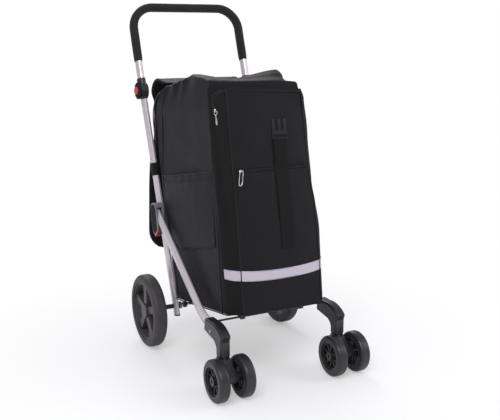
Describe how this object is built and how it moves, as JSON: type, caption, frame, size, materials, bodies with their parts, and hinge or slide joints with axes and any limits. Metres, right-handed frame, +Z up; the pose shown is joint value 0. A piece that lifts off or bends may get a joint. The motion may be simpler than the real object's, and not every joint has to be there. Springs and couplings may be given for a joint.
{
  "type": "folding shopping trolley",
  "caption": "Folding shopping trolley with an oval tube frame, tilting U handle, swivelling twin front casters, big rear wheels and a soft lidded bag with pockets.",
  "frame": {"origin": "on the floor under the centre of the box around the trolley at rest", "axes": "+Z up, front faces -Y, left side as seen from the front is -X"},
  "size_m": [0.45, 0.6748, 0.9318],
  "materials": {
    "silver_tube": "satin",
    "steel": "satin",
    "dark_wire": "satin",
    "knuckle_black": "matt",
    "grey_plastic": "matt",
    "red_plastic": "semi-gloss",
    "foam": "matt",
    "tyre": "matt",
    "rim": "satin",
    "caster": "satin",
    "bag_cloth": "woven, soft sheen",
    "webbing": "woven",
    "stripe": "reflective weave",
    "board": "matt",
    "zip_metal": "satin",
    "cord": "braided"
  },
  "bodies": {
    "rear_frame": {"main_tube_left": "silver_tube", "main_tube_right": "silver_tube", "tube_end_plugs": "knuckle_black", "rear_axle": "steel", "axle_sleeves": "knuckle_black", "base_clamps": "grey_plastic", "latch_housing_left": "knuckle_black", "latch_housing_right": "knuckle_black", "latch_covers": "grey_plastic", "fold_pins": "steel", "rear_cross_tube": "silver_tube", "frame_rivets": "steel", "tube_bands": "knuckle_black", "knuckle_base_left": "knuckle_black", "knuckle_base_right": "knuckle_black", "bag_shell": "bag_cloth", "front_pocket": "bag_cloth", "side_pocket_left": "bag_cloth", "side_pocket_right": "bag_cloth", "strap_webbing": "webbing", "buckle": "knuckle_black", "lower_zip": "webbing", "upper_zip": "webbing", "reflective_stripe": "stripe", "drawcord_a": "cord", "drawcord_b": "cord", "drawcord_tail": "cord", "cord_knot": "knuckle_black"},
    "handle": {"handle_tube": "silver_tube", "foam_grip": "foam", "knuckle_top_left": "knuckle_black", "knuckle_top_right": "knuckle_black", "knuckle_covers": "grey_plastic"},
    "button_left": {"push_button_left": "red_plastic"},
    "button_right": {"push_button_right": "red_plastic"},
    "tab_left": {"latch_tab_left": "red_plastic"},
    "tab_right": {"latch_tab_right": "red_plastic"},
    "front_frame": {"front_leg_left": "silver_tube", "front_leg_right": "silver_tube", "caster_arm_left": "caster", "caster_arm_right": "caster", "front_cross_wire": "dark_wire", "front_rivets": "steel"},
    "base": {"wire_base": "dark_wire", "bag_base_board": "board"},
    "caster_left": {"caster_hub_left": "caster", "caster_axle_left": "steel"},
    "caster_right": {"caster_hub_right": "caster", "caster_axle_right": "steel"},
    "caster_wheel_outer_left_body": {"caster_wheel_outer_left": "caster"},
    "caster_wheel_inner_left_body": {"caster_wheel_inner_left": "caster"},
    "caster_wheel_outer_right_body": {"caster_wheel_outer_right": "caster"},
    "caster_wheel_inner_right_body": {"caster_wheel_inner_right": "caster"},
    "rear_wheel_left": {"rear_tyre_left": "tyre", "rear_rim_left": "rim"},
    "rear_wheel_right": {"rear_tyre_right": "tyre", "rear_rim_right": "rim"},
    "lid": {"lid_flap": "bag_cloth"},
    "zip_slider": {"lower_zip_slider": "zip_metal"},
    "zip_puller": {"upper_zip_puller": "zip_metal"}
  },
  "joints": [
    {"name": "handle_tilt", "type": "hinge", "parent": "rear_frame", "child": "handle", "pos_m": [0, 0.24662, 0.694], "axis": [1, 0, 0], "range_deg": [-85, 85]},
    {"name": "button_press_left", "type": "slide", "parent": "handle", "child": "button_left", "axis": [1, 0, 0], "range_m": [0, 0.0035], "stiffness_N_per_m": 400},
    {"name": "button_press_right", "type": "slide", "parent": "handle", "child": "button_right", "axis": [-1, 0, 0], "range_m": [0, 0.0035], "stiffness_N_per_m": 400},
    {"name": "tab_slide_left", "type": "slide", "parent": "rear_frame", "child": "tab_left", "axis": [0, 0.198, 0.9802], "range_m": [0, 0.006], "stiffness_N_per_m": 300, "springref_m": -0.001},
    {"name": "tab_slide_right", "type": "slide", "parent": "rear_frame", "child": "tab_right", "axis": [0, 0.198, 0.9802], "range_m": [0, 0.006], "stiffness_N_per_m": 300, "springref_m": -0.001},
    {"name": "front_fold", "type": "hinge", "parent": "rear_frame", "child": "front_frame", "pos_m": [0, 0.15162, 0.361], "axis": [1, 0, 0], "range_deg": [0, 36]},
    {"name": "base_fold", "type": "hinge", "parent": "rear_frame", "child": "base", "pos_m": [0, 0.12662, 0.1], "axis": [-1, 0, 0], "range_deg": [0, 52.2], "deforming": ["bag_shell"]},
    {"name": "caster_swivel_left", "type": "hinge", "parent": "front_frame", "child": "caster_left", "pos_m": [-0.163, -0.25138, 0.08], "axis": [0, 0, 1], "continuous": true},
    {"name": "caster_swivel_right", "type": "hinge", "parent": "front_frame", "child": "caster_right", "pos_m": [0.163, -0.25138, 0.08], "axis": [0, 0, 1], "continuous": true},
    {"name": "caster_roll_outer_left", "type": "hinge", "parent": "caster_left", "child": "caster_wheel_outer_left_body", "pos_m": [-0.163, -0.28538, 0.052], "axis": [1, 0, 0], "continuous": true},
    {"name": "caster_roll_inner_left", "type": "hinge", "parent": "caster_left", "child": "caster_wheel_inner_left_body", "pos_m": [-0.163, -0.28538, 0.052], "axis": [1, 0, 0], "continuous": true},
    {"name": "caster_roll_outer_right", "type": "hinge", "parent": "caster_right", "child": "caster_wheel_outer_right_body", "pos_m": [0.163, -0.28538, 0.052], "axis": [1, 0, 0], "continuous": true},
    {"name": "caster_roll_inner_right", "type": "hinge", "parent": "caster_right", "child": "caster_wheel_inner_right_body", "pos_m": [0.163, -0.28538, 0.052], "axis": [1, 0, 0], "continuous": true},
    {"name": "rear_roll_left", "type": "hinge", "parent": "rear_frame", "child": "rear_wheel_left", "pos_m": [-0.207, 0.12662, 0.1], "axis": [1, 0, 0], "continuous": true},
    {"name": "rear_roll_right", "type": "hinge", "parent": "rear_frame", "child": "rear_wheel_right", "pos_m": [0.207, 0.12662, 0.1], "axis": [1, 0, 0], "continuous": true},
    {"name": "lid_open", "type": "hinge", "parent": "rear_frame", "child": "lid", "pos_m": [0, 0.18462, 0.715], "axis": [1, 0, 0], "range_deg": [0, 100]},
    {"name": "zip_slide", "type": "slide", "parent": "rear_frame", "child": "zip_slider", "axis": [1, 0, 0], "range_m": [-0.012, 0.065]},
    {"name": "puller_swing", "type": "hinge", "parent": "rear_frame", "child": "zip_puller", "pos_m": [-0.1275, -0.1727, 0.6716], "axis": [1, 0, 0], "range_deg": [-60, 0]}
  ],
  "couplings": [
    {"joint": "base_fold", "follows": "front_fold", "ratio": 1.45}
  ]
}
